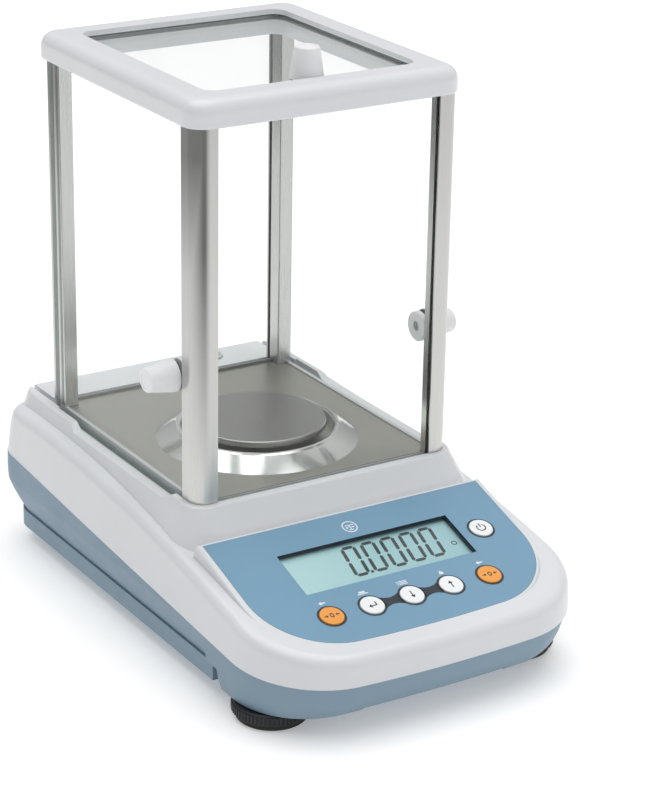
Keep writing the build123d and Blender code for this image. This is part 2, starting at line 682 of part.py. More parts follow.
def button():
    """Key cap with a retaining flange and a stem, its face just above the deck plane."""
    cap = rod(0, 0, -3.6, 0.75, BUTTON_R)
    cap = fillet(cap.edges().sort_by(Axis.Z)[-1], 0.5)
    return cap + rod(0, 0, -4.6, -3.9, BUTTON_R + 0.9) + rod(0, 0, -6.4, -3.5, 2.0)


def rear_sockets():
    """Power inlet and data socket behind the back wall."""
    power = Pos(POWER_SOCKET_X, 159.4, SOCKET_Z) * Box(13, 9, 12)
    power += Pos(POWER_SOCKET_X, 165.6, SOCKET_Z) * Rot(90, 0, 0) * Cylinder(4.9, 5)
    power -= Pos(POWER_SOCKET_X, 165.0, SOCKET_Z) * Rot(90, 0, 0) * Cylinder(3.2, 8)
    power += Pos(POWER_SOCKET_X, 164.0, SOCKET_Z) * Rot(90, 0, 0) * Cylinder(1.0, 6)
    data = Pos(DATA_SOCKET_X, 162.6, SOCKET_Z) * Box(30.6, 11, 11.6)
    data -= Pos(DATA_SOCKET_X, 167.0, SOCKET_Z) * Box(17, 7, 8.4)
    data += Pos(DATA_SOCKET_X, 166.0, SOCKET_Z) * Box(15, 6, 5.0)
    return power + data


# ---------------------------------------------------------------- level and feet

def level_bezel():
    """Ring that frames the bubble level on the rear deck."""
    ring = rod(LEVEL_X, LEVEL_Y, 88.3, 93.0, 8.0) - rod(LEVEL_X, LEVEL_Y, 89.2, 100, 6.2)
    return fillet(ring.edges().filter_by(GeomType.CIRCLE).sort_by(Axis.Z)[-2:], 0.5)


def level_vial():
    """Domed clear vial of the bubble level."""
    vial = rod(LEVEL_X, LEVEL_Y, 89.25, 92.6, 6.1)
    return fillet(vial.edges().filter_by(GeomType.CIRCLE).sort_by(Axis.Z)[-1], 0.6)


def foot_inserts():
    """Brass thread inserts in the two front bosses."""
    insert = rod(FRONT_FOOT_X, FRONT_FOOT_Y, 20, 34.2, 5.0) - rod(FRONT_FOOT_X, FRONT_FOOT_Y, 10, 40, 3.05)
    return both_sides(insert)


def foot_wheel():
    """Ribbed thumbwheel with its threaded stud."""
    wheel = rod(0, 0, 3.3, 9.7, FOOT_R - 0.8)
    wheel = chamfer(wheel.edges().filter_by(GeomType.CIRCLE), 0.8)
    rib = rod(FOOT_R - 0.9, 0, 4.2, 8.8, 0.8)
    for index in range(FOOT_RIBS):
        wheel += Rot(0, 0, 360 / FOOT_RIBS * index) * rib
    return wheel + rod(0, 0, 9.5, 31.0, 3.0)


def foot_pad():
    """Rubber pad that the wheel turns on."""
    return chamfer(rod(0, 0, 0, 3.0, FOOT_R - 2.5).edges().group_by(Axis.Z)[0], 0.6)


def rear_feet():
    """Fixed rubber feet with a recess for the screw."""
    foot = rod(REAR_FOOT_X, REAR_FOOT_Y, 0, BASE_BOTTOM_Z, REAR_FOOT_R)
    foot = chamfer(foot.edges().filter_by(GeomType.CIRCLE).group_by(Axis.Z)[0], 1.0)
    screw_hole = rod(REAR_FOOT_X, REAR_FOOT_Y, -1, 5, 4) + rod(REAR_FOOT_X, REAR_FOOT_Y, -1, 20, 1.7)
    return both_sides(foot - screw_hole)


# ---------------------------------------------------------------- assembly

def build():
    """Every named piece of the balance."""
    made = {
        "upper_housing": upper_housing(),
        "lower_housing": lower_housing(),
        "case_screws": case_screws(),
        "top_frame": top_frame(),
        "front_glass": fixed_pane(FRONT_GLASS_Y),
        "rear_glass": fixed_pane(REAR_GLASS_Y),
        "glass_seals": glass_seals(),
        "left_door_glass": side_door_glass(-1),
        "right_door_glass": side_door_glass(1),
        "top_door_glass": top_door_glass(),
        "door_rails": door_rails(),
        "chamber_floor": chamber_floor(),
        "wind_ring": wind_ring(),
        "weighing_pan": weighing_pan(),
        "pan_carrier": pan_carrier(),
        "load_receiver": load_receiver(),
        "cell_frame": cell_frame(),
        "upper_guide": guide(66.4),
        "lower_guide": guide(34.0),
        "cell_lever": cell_lever(),
        "coil": coil(),
        "magnet_pot": magnet_pot(),
        "position_sensor": position_sensor(),
        "chassis_plate": chassis_plate(),
        "main_board": main_board(),
        "display_board": display_board(),
        "lcd_module": lcd_module(),
        "lcd_window": lcd_window(),
        "keypad_overlay": keypad_overlay(),
        "rear_sockets": rear_sockets(),
        "level_bezel": level_bezel(),
        "level_vial": level_vial(),
        "foot_inserts": foot_inserts(),
        "rear_feet": rear_feet(),
    }
    made.update(posts())
    made.update(door_knobs())
    for name, (x, s) in BUTTONS.items():
        made[name] = deck_place(x, s) * button()
    for side, x in (("left", -FRONT_FOOT_X), ("right", FRONT_FOOT_X)):
        made[f"{side}_foot_wheel"] = Pos(x, FRONT_FOOT_Y, 0) * foot_wheel()
        made[f"{side}_foot_pad"] = Pos(x, FRONT_FOOT_Y, 0) * foot_pad()
    return made


os.makedirs("parts", exist_ok=True)
for node, shape in build().items():
    export_step(shape, f"parts/{node}.step")
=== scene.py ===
import json
import math

import bmesh
import bpy
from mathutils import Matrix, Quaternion, Vector


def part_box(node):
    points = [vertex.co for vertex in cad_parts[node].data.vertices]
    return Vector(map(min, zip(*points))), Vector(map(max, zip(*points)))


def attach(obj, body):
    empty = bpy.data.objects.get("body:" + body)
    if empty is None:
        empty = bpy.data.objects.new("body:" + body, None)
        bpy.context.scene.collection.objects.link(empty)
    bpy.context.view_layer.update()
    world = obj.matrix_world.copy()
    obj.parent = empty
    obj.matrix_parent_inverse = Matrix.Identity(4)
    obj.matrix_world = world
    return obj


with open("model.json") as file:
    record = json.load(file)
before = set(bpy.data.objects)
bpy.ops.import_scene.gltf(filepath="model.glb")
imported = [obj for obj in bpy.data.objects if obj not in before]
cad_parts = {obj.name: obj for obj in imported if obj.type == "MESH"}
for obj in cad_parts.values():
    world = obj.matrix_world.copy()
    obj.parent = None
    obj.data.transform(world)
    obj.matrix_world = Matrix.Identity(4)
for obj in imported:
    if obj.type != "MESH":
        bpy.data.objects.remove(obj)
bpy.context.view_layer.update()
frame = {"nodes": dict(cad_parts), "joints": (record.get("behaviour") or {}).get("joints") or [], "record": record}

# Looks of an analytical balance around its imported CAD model. Metres, X right, front faces -Y, Z up.

MM = 0.001

# The range that most values of a noise texture fall in
NOISE_LOW = 0.3
NOISE_HIGH = 0.7


# ---------------------------------------------------------------- node helpers

def srgb(r, g, b):
    """Linear colour from 0-255 display values."""
    def linear(value):
        value /= 255.0
        return value / 12.92 if value <= 0.04045 else ((value + 0.055) / 1.055) ** 2.4
    return (linear(r), linear(g), linear(b), 1.0)


class Shader:
    """A material under construction: a Principled shader plus short calls that add nodes."""

    def __init__(self, name):
        self.material = bpy.data.materials.new(name)
        self.material.use_nodes = True
        self.tree = self.material.node_tree
        self.principled = self.tree.nodes["Principled BSDF"]
        self.output = self.tree.nodes["Material Output"]

    def node(self, kind, **settings):
        """A new node. Keys that name an attribute set it, and the rest set inputs by name."""
        made = self.tree.nodes.new(kind)
        for key, value in settings.items():
            if hasattr(made, key):
                setattr(made, key, value)
            else:
                made.inputs[key.replace("_", " ").title()].default_value = value
        return made

    def link(self, start, end):
        self.tree.links.new(start, end)

    def set(self, **values):
        """Uniform values straight on the shader's sockets."""
        for key, value in values.items():
            socket = key.replace("_", " ").title().replace("Ior", "IOR")
            self.principled.inputs[socket].default_value = value

    def place(self, scale=(1, 1, 1)):
        """Object coordinates in metres, scaled."""
        coords = self.node("ShaderNodeTexCoord")
        mapping = self.node("ShaderNodeMapping")
        mapping.inputs["Scale"].default_value = scale
        self.link(coords.outputs["Object"], mapping.inputs["Vector"])
        return mapping.outputs["Vector"]

    def noise(self, vector, scale, detail=3.0, rough=0.5):
        made = self.node("ShaderNodeTexNoise")
        made.inputs["Scale"].default_value = scale
        made.inputs["Detail"].default_value = detail
        made.inputs["Roughness"].default_value = rough
        self.link(vector, made.inputs["Vector"])
        return made.outputs["Fac"]

    def ramp(self, value, stops):
        """A colour ramp from (position, colour) stops."""
        made = self.node("ShaderNodeValToRGB")
        elements = made.color_ramp.elements
        while len(elements) < len(stops):
            elements.new(0.5)
        for element, (position, colour) in zip(elements, stops):
            element.position = position
            element.color = colour
        self.link(value, made.inputs["Fac"])
        return made.outputs["Color"]

    def two_tone(self, value, dark, light):
        """A colour ramp between two colours over the middle range of a noise value."""
        return self.ramp(value, [(NOISE_LOW, dark), (NOISE_HIGH, light)])

    def span(self, value, low, high, to_low, to_high):
        """The value moved from one range to another, clamped."""
        made = self.node("ShaderNodeMapRange", clamp=True)
        for key, number in (("From Min", low), ("From Max", high), ("To Min", to_low), ("To Max", to_high)):
            made.inputs[key].default_value = number
        self.link(value, made.inputs["Value"])
        return made.outputs["Result"]

    def math(self, operation, first, second=None):
        made = self.node("ShaderNodeMath", operation=operation)
        for socket, value in zip(made.inputs, (first, second)):
            if value is None:
                continue
            if isinstance(value, (int, float)):
                socket.default_value = value
            else:
                self.link(value, socket)
        return made.outputs[0]

    def mix(self, fac, first, second):
        """Two colours mixed by a factor."""
        made = self.node("ShaderNodeMix", data_type="RGBA")
        for name, value in (("Factor", fac), ("A", first), ("B", second)):
            sockets = [s for s in made.inputs if s.name == name and s.enabled]
            if hasattr(value, "is_output"):
                self.link(value, sockets[0])
            else:
                sockets[0].default_value = value
        return [s for s in made.outputs if s.enabled][0]

    def bump(self, height, strength, distance):
        made = self.node("ShaderNodeBump")
        made.inputs["Strength"].default_value = strength
        made.inputs["Distance"].default_value = distance
        self.link(height, made.inputs["Height"])
        self.link(made.outputs["Normal"], self.principled.inputs["Normal"])

    def colour(self, socket):
        self.link(socket, self.principled.inputs["Base Color"])

    def roughness(self, socket):
        self.link(socket, self.principled.inputs["Roughness"])

    def surface_normal(self):
        """The surface's own normal, in the object's axes."""
        return self.node("ShaderNodeTexCoord").outputs["Normal"]

    def along(self, vector, direction):
        """How far a vector points along a direction."""
        made = self.node("ShaderNodeVectorMath", operation="DOT_PRODUCT")
        self.link(vector, made.inputs[0])
        made.inputs[1].default_value = direction
        return made.outputs["Value"]


def scaled(colour, amount):
    """A colour made lighter or darker."""
    return tuple(min(1.0, channel * amount) for channel in colour[:3]) + (1.0,)


# ---------------------------------------------------------------- materials

# Share of the glass reflection that shows, and its least value, seen square on
PANE_SHEEN = 0.5
PANE_BASE_MIRROR = 0.035

def moulded(name, colour, rough=0.35, texture=3000.0, relief=0.1, coat=0.0, vary=0.03):
    """Moulded plastic: slow colour drift, a fine texture and handling marks in the gloss."""
    shader = Shader(name)
    drift = shader.noise(shader.place(), 9.0, 4.0)
    shader.colour(shader.two_tone(drift, scaled(colour, 1 - vary), scaled(colour, 1 + vary)))
    marks = shader.noise(shader.place(), 60.0, 6.0, 0.7)
    shader.roughness(shader.span(marks, NOISE_LOW, NOISE_HIGH, rough * 0.88, rough * 1.14))
    shader.bump(shader.noise(shader.place(), texture, 2.0), relief, 0.00005)
    shader.set(coat_weight=coat, coat_roughness=0.12)
    return shader.material


def brushed(name, colour, rough, stretch, contrast=0.12, relief=0.25):
    """Brushed metal: lines as long as the stretch makes them."""
    shader = Shader(name)
    fine = shader.noise(shader.place(stretch), 1.0, 4.0, 0.65)
    cloud = shader.noise(shader.place(), 14.0, 3.0)
    both = shader.math("ADD", shader.math("MULTIPLY", fine, 0.75), shader.math("MULTIPLY", cloud, 0.25))
    shader.colour(shader.two_tone(both, scaled(colour, 1 - contrast), scaled(colour, 1 + contrast)))
    shader.roughness(shader.span(both, NOISE_LOW, NOISE_HIGH, rough * 0.8, rough * 1.25))
    shader.bump(fine, relief, 0.00004)
    shader.set(metallic=1.0)
    return shader.material


def turned(name, colour, rough, centre, pitch=2200.0, contrast=0.06, relief=0.12):
    """Metal turned on a lathe about an upright axis: fine rings round the centre."""
    shader = Shader(name)
    offset = shader.node("ShaderNodeVectorMath", operation="SUBTRACT")
    shader.link(shader.place(), offset.inputs[0])
    offset.inputs[1].default_value = (centre[0], centre[1], 0.0)
    flat = shader.node("ShaderNodeVectorMath", operation="MULTIPLY")
    shader.link(offset.outputs[0], flat.inputs[0])
    flat.inputs[1].default_value = (1.0, 1.0, 0.0)
    radius = shader.node("ShaderNodeVectorMath", operation="LENGTH")
    shader.link(flat.outputs[0], radius.inputs[0])
    rings = shader.node("ShaderNodeTexNoise", noise_dimensions="1D")
    rings.inputs["Scale"].default_value = pitch
    rings.inputs["Detail"].default_value = 3.0
    shader.link(radius.outputs["Value"], rings.inputs["W"])
    lines = rings.outputs["Fac"]
    shader.colour(shader.two_tone(lines, scaled(colour, 1 - contrast), scaled(colour, 1 + contrast)))
    shader.roughness(shader.span(lines, NOISE_LOW, NOISE_HIGH, rough * 0.85, rough * 1.2))
    shader.bump(lines, relief, 0.00003)
    shader.set(metallic=1.0)
    return shader.material


def aluminium_post(name, colour, top, bottom):
    """Satin extrusion: long die lines up the post, painted shade that makes it lighter near the bottom and darker
    near the top, and a painted reflection of dark surroundings on faces turned to the left.
    """
    shader = Shader(name)
    lines = shader.noise(shader.place((2600, 2600, 6)), 1.0, 3.0, 0.6)
    height = shader.along(shader.place(), (0, 0, 1))
    slow = shader.span(height, bottom, top, 0.0, 1.0)
    # Painted shade: lighter near the bottom of the post and darker near the top.
    painted_light_tone = shader.ramp(slow, [(0.0, scaled(colour, 1.08)), (0.55, colour), (1.0, scaled(colour, 0.84))])
    # Painted reflection: a dark band on faces turned to the left and a dark cap near the top stand in for dark
    # surroundings reflected in the metal.
    outward = shader.along(shader.surface_normal(), (-1, 0, 0))
    rise = shader.span(outward, 0.06, 0.30, 0.0, 1.0)
    fall = shader.span(outward, 0.45, 0.95, 1.0, 0.2)
    band = shader.math("MULTIPLY", fall, shader.span(slow, 0.12, 0.68, 0.0, 1.0))
    cap = shader.span(slow, 0.55, 0.90, 0.0, 0.95)
    dark = shader.math("MULTIPLY", rise, shader.math("MAXIMUM", band, cap))
    shaded = shader.mix(dark, painted_light_tone, scaled(colour, 0.09))
    grain = shader.two_tone(lines, (0.90, 0.90, 0.90, 1), (1.0, 1.0, 1.0, 1))
    shader.colour(shader.mix(0.10, shaded, grain))
    shader.roughness(shader.span(lines, NOISE_LOW, NOISE_HIGH, 0.24, 0.36))
    shader.bump(lines, 0.2, 0.00003)
    shader.set(metallic=1.0)
    return shader.material


def rubber(name, colour=0.014):
    """Matt black rubber with a dusty, slightly uneven face."""
    shader = Shader(name)
    dust = shader.noise(shader.place(), 90.0, 5.0, 0.7)
    dusty = colour * 2.2
    stops = [(0.35, (colour, colour, colour, 1)), (0.75, (dusty, dusty, dusty, 1))]
    shader.colour(shader.ramp(dust, stops))
    shader.roughness(shader.span(dust, NOISE_LOW, NOISE_HIGH, 0.55, 0.8))
    shader.bump(shader.noise(shader.place(), 1800.0, 2.0), 0.3, 0.0001)
    return shader.material


def clear_pane(name, across, edge):
    """Float glass: clear through its faces with a faint reflection, and a green-grey edge."""
    shader = Shader(name)
    facing = shader.math("ABSOLUTE", shader.along(shader.surface_normal(), across))
    edge_mask = shader.span(facing, 0.4, 0.8, 1.0, 0.0)
    smear = shader.noise(shader.place((1, 1, 0.35)), 22.0, 4.0, 0.6)
    clear = shader.node("ShaderNodeBsdfTransparent")
    clear.inputs["Color"].default_value = (0.985, 0.992, 0.988, 1)
    gloss = shader.node("ShaderNodeBsdfGlossy")
    gloss.inputs["Color"].default_value = (1, 1, 1, 1)
    shader.link(shader.span(smear, 0.35, 0.75, 0.02, 0.10), gloss.inputs["Roughness"])
    grazing = shader.node("ShaderNodeLayerWeight", Blend=0.5).outputs["Facing"]
    mirrored = shader.math("ADD", shader.math("POWER", grazing, 5.0), PANE_BASE_MIRROR)
    face = shader.node("ShaderNodeMixShader")
    shader.link(shader.math("MULTIPLY", mirrored, PANE_SHEEN), face.inputs["Fac"])
    shader.link(clear.outputs[0], face.inputs[1])
    shader.link(gloss.outputs[0], face.inputs[2])
    shader.colour(shader.two_tone(smear, edge, scaled(edge, 1.3)))
    shader.set(roughness=0.15, alpha=0.75)
    whole = shader.node("ShaderNodeMixShader")
    shader.link(edge_mask, whole.inputs["Fac"])
    shader.link(face.outputs[0], whole.inputs[1])
    shader.link(shader.principled.outputs[0], whole.inputs[2])
    shader.link(whole.outputs[0], shader.output.inputs["Surface"])
    return shader.material


def foil(name, colour, edge, normal):
    """Printed front foil: fine satin grain on its face, and painted shade on its cut edges, which take the dark
    edge colour.
    """
    shader = Shader(name)
    # Painted shade: faces turned away from the foil's face get the dark edge colour, as the display opening's
    # walls and the foil's rim lie in shade.
    facing = shader.along(shader.surface_normal(), normal)
    mask = shader.span(facing, 0.5, 0.9, 0.0, 1.0)
    drift = shader.noise(shader.place(), 11.0, 3.0)
    face = shader.two_tone(drift, scaled(colour, 0.97), scaled(colour, 1.03))
    shader.colour(shader.mix(mask, edge, face))
    grain = shader.noise(shader.place(), 2600.0, 2.0)
    shader.roughness(shader.span(grain, NOISE_LOW, NOISE_HIGH, 0.34, 0.46))
    shader.bump(grain, 0.12, 0.00003)
    return shader.material


def display_face(name, left, right):
    """Reflective display: pale blue-green, painted lighter at one side as light falls on it, with a fine row
    structure.
    """
    shader = Shader(name)
    run = shader.along(shader.place(), (1, 0, 0))
    slow = shader.span(run, left, right, 0.0, 1.0)
    # Painted light: the face is lighter on the left and darker towards the right.
    painted_light_tone = shader.ramp(slow, [(0.0, srgb(188, 224, 227)), (0.55, srgb(166, 207, 213)),
                              (1.0, srgb(162, 202, 210))])
    rows = shader.noise(shader.place((3000, 3000, 3000)), 1.0, 1.0)
    cells = shader.ramp(rows, [(0.4, srgb(120, 160, 165)), (0.6, srgb(190, 220, 222))])
    shader.colour(shader.mix(0.05, painted_light_tone, cells))
    shader.set(roughness=0.3)
    return shader.material


def board(name):
    """Solder mask with tracks below it."""
    shader = Shader(name)
    tracks = shader.node("ShaderNodeTexBrick", offset=0.3)
    tracks.inputs["Scale"].default_value = 260.0
    tracks.inputs["Color1"].default_value = srgb(18, 92, 52)
    tracks.inputs["Color2"].default_value = srgb(24, 104, 60)
    tracks.inputs["Mortar"].default_value = srgb(60, 140, 90)
    shader.link(shader.place(), tracks.inputs["Vector"])
    shader.colour(tracks.outputs["Color"])
    shader.set(roughness=0.4)
    return shader.material


def liquid(name):
    """Pale liquid of the bubble level."""
    shader = Shader(name)
    cloud = shader.noise(shader.place(), 300.0, 2.0)
    shader.colour(shader.two_tone(cloud, srgb(196, 206, 150), srgb(208, 218, 168)))
    shader.set(roughness=0.08, coat_weight=0.6, coat_roughness=0.05)
    return shader.material


# ---------------------------------------------------------------- geometry helpers

def finish_mesh(name, bm, material, body, smooth=False):
    """Turns a bmesh into a piece that rides on a body."""
    bmesh.ops.recalc_face_normals(bm, faces=bm.faces)
    mesh = bpy.data.meshes.new(name)
    bm.to_mesh(mesh)
    bm.free()
    piece = bpy.data.objects.new(name, mesh)
    bpy.context.scene.collection.objects.link(piece)
    mesh.materials.append(material)
    for polygon in mesh.polygons:
        polygon.use_smooth = smooth
    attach(piece, body)


class Plane:
    """A flat place on the object: an origin, two directions in it and its normal."""

    def __init__(self, origin, right, normal):
        self.origin = Vector(origin)
        self.right = Vector(right).normalized()
        self.normal = Vector(normal).normalized()
        self.up = self.normal.cross(self.right)

    def at(self, u, v, lift=0.0):
        return self.origin + self.right * u + self.up * v + self.normal * lift

    def moved(self, u, v, lift=0.0):
        return Plane(self.at(u, v, lift), self.right, self.normal)


def add_polygon(bm, plane, points, low, high):
    """A flat closed solid with that outline."""
    bottom = [bm.verts.new(plane.at(u, v, low)) for u, v in points]
    top = [bm.verts.new(plane.at(u, v, high)) for u, v in points]
    bm.faces.new(top)
    bm.faces.new(bottom[::-1])
    for index, start in enumerate(bottom):
        after = (index + 1) % len(bottom)
        bm.faces.new((start, bottom[after], top[after], top[index]))


def add_strip(bm, plane, one_side, other_side, low, high, closed=False):
    """A flat closed solid between two lines with the same number of points."""
    rows = []
    for (u0, v0), (u1, v1) in zip(one_side, other_side):
        rows.append([bm.verts.new(plane.at(u0, v0, low)), bm.verts.new(plane.at(u1, v1, low)),
                     bm.verts.new(plane.at(u1, v1, high)), bm.verts.new(plane.at(u0, v0, high))])
    pairs = list(zip(rows, rows[1:]))
    if closed:
        pairs.append((rows[-1], rows[0]))
    for now, after in pairs:
        for side in range(4):
            other = (side + 1) % 4
            bm.faces.new((now[side], now[other], after[other], after[side]))
    if not closed:
        bm.faces.new(rows[0][::-1])
        bm.faces.new(rows[-1])


def arc(radius, start, end, steps=48, centre=(0.0, 0.0)):
    """Points on a circle between two angles in degrees."""
    points = []
    for index in range(steps + 1):
        angle = math.radians(start + (end - start) * index / steps)
        points.append((centre[0] + radius * math.cos(angle), centre[1] + radius * math.sin(angle)))
    return points


def add_ring(bm, plane, first_radius, second_radius, steps, centre=(0.0, 0.0)):
    """A flat printed ring between two radii."""
    add_strip(bm, plane, arc(first_radius, 0, 360, steps, centre)[:-1],
              arc(second_radius, 0, 360, steps, centre)[:-1], 0.0, INK, closed=True)


def face_plane(node, normal):
    """The plane of a node's outermost flat face in a direction, with its origin at the face's middle."""
    normal = Vector(normal).normalized()
    corners = [v.co for v in frame["nodes"][node].data.vertices]
    top = max(co.dot(normal) for co in corners)
    rim = [co for co in corners if top - co.dot(normal) < 0.02 * MM]
    plane = Plane((0, 0, 0), (1, 0, 0), normal)
    us = [co.dot(plane.right) for co in rim]
    vs = [co.dot(plane.up) for co in rim]
    plane.origin = (plane.right * (min(us) + max(us)) / 2 + plane.up * (min(vs) + max(vs)) / 2
                    + plane.normal * top)
    plane.half_u = (max(us) - min(us)) / 2
    plane.half_v = (max(vs) - min(vs)) / 2
    return plane


# ---------------------------------------------------------------- display and keys

DECK_NORMAL = -Vector(next(j["axis"] for j in frame["joints"] if j["child"] == "down_button"))
KEYS = [j["child"] for j in frame["joints"] if j["child"].endswith("_button")]
INK = 0.05 * MM


def segment(start, end, width, gap):
    """Outline of one display segment with pointed ends."""
    a = Vector(start)
    b = Vector(end)
    along = (b - a).normalized()
    side = Vector((-along.y, along.x)) * width / 2
    a = a + along * gap
    b = b - along * gap
    tip = along * width / 2
    return [a, a + tip + side, b - tip + side, b, b - tip - side, a + tip - side]


def display_digits(material):
    """The reading on the display, in slanted seven-segment figures, with a stability mark."""
    plane = face_plane("lcd_module", DECK_NORMAL)
    bm = bmesh.new()
    height = 22.0 * MM
    width = 7.6 * MM
    pitch = 12.5 * MM
    stroke = 2.15 * MM
    gap = 0.25 * MM
    slant = 0.13
    left = -17.8 * MM
    low = -8.6 * MM

    def lean(points, shift):
        return [(shift + u + slant * v, low + v) for u, v in points]

    top = height
    middle = height / 2
    lines = [((0, 0), (width, 0)), ((0, top), (width, top))]
    lines += [((x, y), (x, y + middle)) for x in (0, width) for y in (0, middle)]
    for digit in range(5):
        shift = left + pitch * digit
        for start, end in lines:
            outline = segment(start, end, stroke, gap)
            add_polygon(bm, plane, lean(outline, shift), 0.0, INK)
    dot = 1.0 * MM
    middle_u = width + (pitch - width) / 2
    square = [(middle_u - dot, -0.6 * dot), (middle_u + 0.8 * dot, -0.6 * dot),
              (middle_u + 0.8 * dot, 1.2 * dot), (middle_u - dot, 1.2 * dot)]
    add_polygon(bm, plane, lean(square, left), 0.0, INK)
    mark = (49.6 * MM, -2.6 * MM)
    add_ring(bm, plane, 1.7 * MM, 1.1 * MM, 32, mark)
    finish_mesh("display_figures", bm, material, "root")


def painted_shade_lining(material):
    """Dark frame that lines the display opening between the foil and the clear pane: painted shade on the
    opening's walls.
    """
    window = face_plane("lcd_window", DECK_NORMAL)
    foil_face = face_plane("keypad_overlay", DECK_NORMAL)
    depth = (foil_face.origin - window.origin).dot(DECK_NORMAL)
    overlap = 0.1 * MM
    wall = 0.9 * MM
    above_pane = 0.03 * MM
    below_foil = 0.85 * MM
    outer_u = window.half_u + overlap
    outer_v = window.half_v + overlap
    outer = [(-outer_u, -outer_v), (outer_u, -outer_v), (outer_u, outer_v), (-outer_u, outer_v)]
    inner = [(math.copysign(abs(u) - wall, u), math.copysign(abs(v) - wall, v)) for u, v in outer]
    bm = bmesh.new()
    # Painted shade: the walls of the opening are made dark.
    add_strip(bm, window, outer, inner, above_pane, depth - below_foil, closed=True)
    finish_mesh("painted_shade_lining", bm, material, "root")


def key_plane(node):
    """The top face of a key."""
    return face_plane(node, DECK_NORMAL)


def key_surrounds(material):
    """Dark printed rings round the keys, with a waisted band that joins the three middle ones."""
    surface = face_plane("keypad_overlay", DECK_NORMAL)
    bm = bmesh.new()
    inner = 7.2 * MM
    outer = 8.1 * MM
    centres = {}
    for node in KEYS:
        plane = key_plane(node)
        offset = plane.origin - surface.origin
        centre = (offset.dot(surface.right), offset.dot(surface.up))
        centres[node] = centre
        add_ring(bm, surface, inner, outer, 64, centre)
    steps = 20
    waist = 2.7 * MM
    end_half = 4.6 * MM
    start = math.sqrt(outer ** 2 - end_half ** 2)
    for first, second in (("enter_button", "down_button"), ("down_button", "up_button")):
        (u0, v0), (u1, _) = centres[first], centres[second]
        middle = (u0 + u1) / 2
        reach = (u1 - u0) / 2
        above = []
        below = []
        for index in range(steps + 1):
            part = -1 + 2 * index / steps
            u = middle + part * (reach - start)
            half = waist + (end_half - waist) * part ** 2
            above.append((u, v0 + half))
            below.append((u, v0 - half))
        add_strip(bm, surface, above, below, 0.0, INK)
    finish_mesh("key_surrounds", bm, material, "root")


def arrow(direction, length, head, stroke):
    """Outline of an arrow centred on the origin, pointing along a direction in degrees."""
    half = length / 2
    shape = [(-half, -stroke / 2), (half - head, -stroke / 2), (half - head, -head * 0.75), (half, 0),
             (half - head, head * 0.75), (half - head, stroke / 2), (-half, stroke / 2)]
    angle = math.radians(direction)
    return [(u * math.cos(angle) - v * math.sin(angle), u * math.sin(angle) + v * math.cos(angle))
            for u, v in shape]


def bar(u0, v0, u1, v1):
    """Outline of an upright rectangle."""
    return [(u0, v0), (u1, v0), (u1, v1), (u0, v1)]


def moved(points, u, v):
    return [(a + u, b + v) for a, b in points]


def key_signs(material):
    """Generic signs on the keys: arrows, a zero between arrows, and the on-off sign."""
    thin = 0.7 * MM
    for node in ("down_button", "up_button"):
        bm = bmesh.new()
        direction = -90 if node == "down_button" else 90
        add_polygon(bm, key_plane(node), arrow(direction, 5.4 * MM, 2.0 * MM, thin), 0.0, INK)
        finish_mesh(node.replace("button", "sign"), bm, material, node)
    bm = bmesh.new()
    plane = key_plane("enter_button")
    add_polygon(bm, plane, moved(arrow(180, 4.6 * MM, 1.9 * MM, thin), -0.4 * MM, -0.8 * MM), 0.0, INK)
    add_polygon(bm, plane, bar(1.9 * MM, -0.8 * MM - thin / 2, 2.6 * MM, 1.8 * MM), 0.0, INK)
    finish_mesh("enter_sign", bm, material, "enter_button")
    for node in ("zero_left_button", "zero_right_button"):
        bm = bmesh.new()
        plane = key_plane(node)
        add_strip(bm, plane, [(u, v * 1.35) for u, v in arc(1.25 * MM, 0, 360, 32)[:-1]],
                  [(u, v * 1.35) for u, v in arc(0.72 * MM, 0, 360, 32)[:-1]], 0.0, INK, closed=True)
        for direction, u in ((0, -3.4 * MM), (180, 3.4 * MM)):
            add_polygon(bm, plane, moved(arrow(direction, 2.6 * MM, 1.3 * MM, 0.55 * MM), u, 0), 0.0, INK)
        finish_mesh(node.replace("button", "sign"), bm, material, node)
    bm = bmesh.new()
    plane = key_plane("power_button")
    add_strip(bm, plane, arc(2.9 * MM, 125, 415), arc(2.2 * MM, 125, 415), 0.0, INK)
    add_polygon(bm, plane, bar(-0.35 * MM, 0.4 * MM, 0.35 * MM, 3.5 * MM), 0.0, INK)
    finish_mesh("power_sign", bm, material, "power_button")


